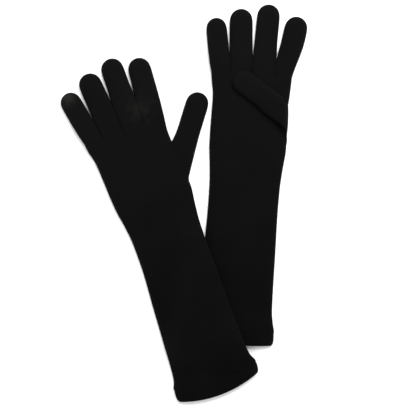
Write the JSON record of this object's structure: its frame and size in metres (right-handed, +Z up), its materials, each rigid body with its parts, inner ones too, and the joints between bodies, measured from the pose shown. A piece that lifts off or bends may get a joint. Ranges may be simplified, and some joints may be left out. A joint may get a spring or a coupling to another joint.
{
  "type": "long gloves",
  "caption": "Pair of long fine-knit gloves laid flat, one palm up with its thumb folded over, the other back up across it.",
  "frame": {"origin": "middle of the pair's footprint, on the surface that it lies on", "axes": "+Z up from that surface, +Y from the hems towards the fingertips, +X to the right as seen from above"},
  "size_m": [0.271, 0.436, 0.0197],
  "materials": {
    "knit_fabric": "matte fine-gauge knit, plain black",
    "stitch_thread": "black sewing thread, slightly smoother than the knit"
  },
  "bodies": {
    "right_arm": {"right_cuff_hem": "knit_fabric", "right_hem_stitching": "stitch_thread", "right_sleeve": "knit_fabric"},
    "right_hand": {"right_hand": "knit_fabric"},
    "right_index_finger": {"right_index_finger": "knit_fabric"},
    "right_middle_finger": {"right_middle_finger": "knit_fabric"},
    "right_ring_finger": {"right_ring_finger": "knit_fabric"},
    "right_little_finger": {"right_little_finger": "knit_fabric"},
    "right_thumb": {"right_thumb": "knit_fabric"},
    "left_arm": {"left_cuff_hem": "knit_fabric", "left_hem_stitching": "stitch_thread", "left_sleeve": "knit_fabric"},
    "left_hand": {"left_hand": "knit_fabric"},
    "left_index_finger": {"left_index_finger": "knit_fabric"},
    "left_middle_finger": {"left_middle_finger": "knit_fabric"},
    "left_ring_finger": {"left_ring_finger": "knit_fabric"},
    "left_little_finger": {"left_little_finger": "knit_fabric"},
    "left_thumb": {"left_thumb": "knit_fabric"}
  },
  "joints": [
    {"name": "left_glove_lift", "type": "slide", "parent": "right_arm", "child": "left_arm", "axis": [0, 0, 1], "range_m": [0, 0.12]},
    {"name": "right_wrist_bend", "type": "hinge", "parent": "right_arm", "child": "right_hand", "pos_m": [0.06707, 0.02264, 0.0085], "axis": [0.9972, -0.075, 0], "range_deg": [0, 80]},
    {"name": "right_little_knuckle_bend", "type": "hinge", "parent": "right_hand", "child": "right_little_finger", "pos_m": [0.04038, 0.14348, 0.01], "axis": [0.9978, -0.0657, 0], "range_deg": [0, 80]},
    {"name": "right_ring_knuckle_bend", "type": "hinge", "parent": "right_hand", "child": "right_ring_finger", "pos_m": [0.06258, 0.14437, 0.01], "axis": [0.9978, -0.0657, 0], "range_deg": [0, 80]},
    {"name": "right_middle_knuckle_bend", "type": "hinge", "parent": "right_hand", "child": "right_middle_finger", "pos_m": [0.08677, 0.14305, 0.01], "axis": [0.9978, -0.0657, 0], "range_deg": [0, 80]},
    {"name": "right_index_knuckle_bend", "type": "hinge", "parent": "right_hand", "child": "right_index_finger", "pos_m": [0.1113, 0.13908, 0.01], "axis": [0.9978, -0.0657, 0], "range_deg": [0, 80]},
    {"name": "right_thumb_unfold", "type": "hinge", "parent": "right_hand", "child": "right_thumb", "pos_m": [0.11228, 0.08869, 0.00985], "axis": [0.029, 0.9996, 0], "range_deg": [0, 178]},
    {"name": "left_wrist_bend", "type": "hinge", "parent": "left_arm", "child": "left_hand", "pos_m": [-0.02069, -0.0295, 0.0085], "axis": [0.9537, 0.3007, 0], "range_deg": [0, 80]},
    {"name": "left_little_knuckle_bend", "type": "hinge", "parent": "left_hand", "child": "left_little_finger", "pos_m": [-0.1001, 0.06816, 0.01], "axis": [0.9275, 0.3739, 0], "range_deg": [0, 80]},
    {"name": "left_ring_knuckle_bend", "type": "hinge", "parent": "left_hand", "child": "left_ring_finger", "pos_m": [-0.08026, 0.07815, 0.01], "axis": [0.9275, 0.3739, 0], "range_deg": [0, 80]},
    {"name": "left_middle_knuckle_bend", "type": "hinge", "parent": "left_hand", "child": "left_middle_finger", "pos_m": [-0.05772, 0.08704, 0.01], "axis": [0.9275, 0.3739, 0], "range_deg": [0, 80]},
    {"name": "left_index_knuckle_bend", "type": "hinge", "parent": "left_hand", "child": "left_index_finger", "pos_m": [-0.03401, 0.09461, 0.01], "axis": [0.9275, 0.3739, 0], "range_deg": [0, 80]},
    {"name": "left_thumb_lift", "type": "hinge", "parent": "left_hand", "child": "left_thumb", "pos_m": [-0.00643, 0.04742, 0.00985], "axis": [0.4289, -0.9034, 0], "range_deg": [0, 60]}
  ]
}
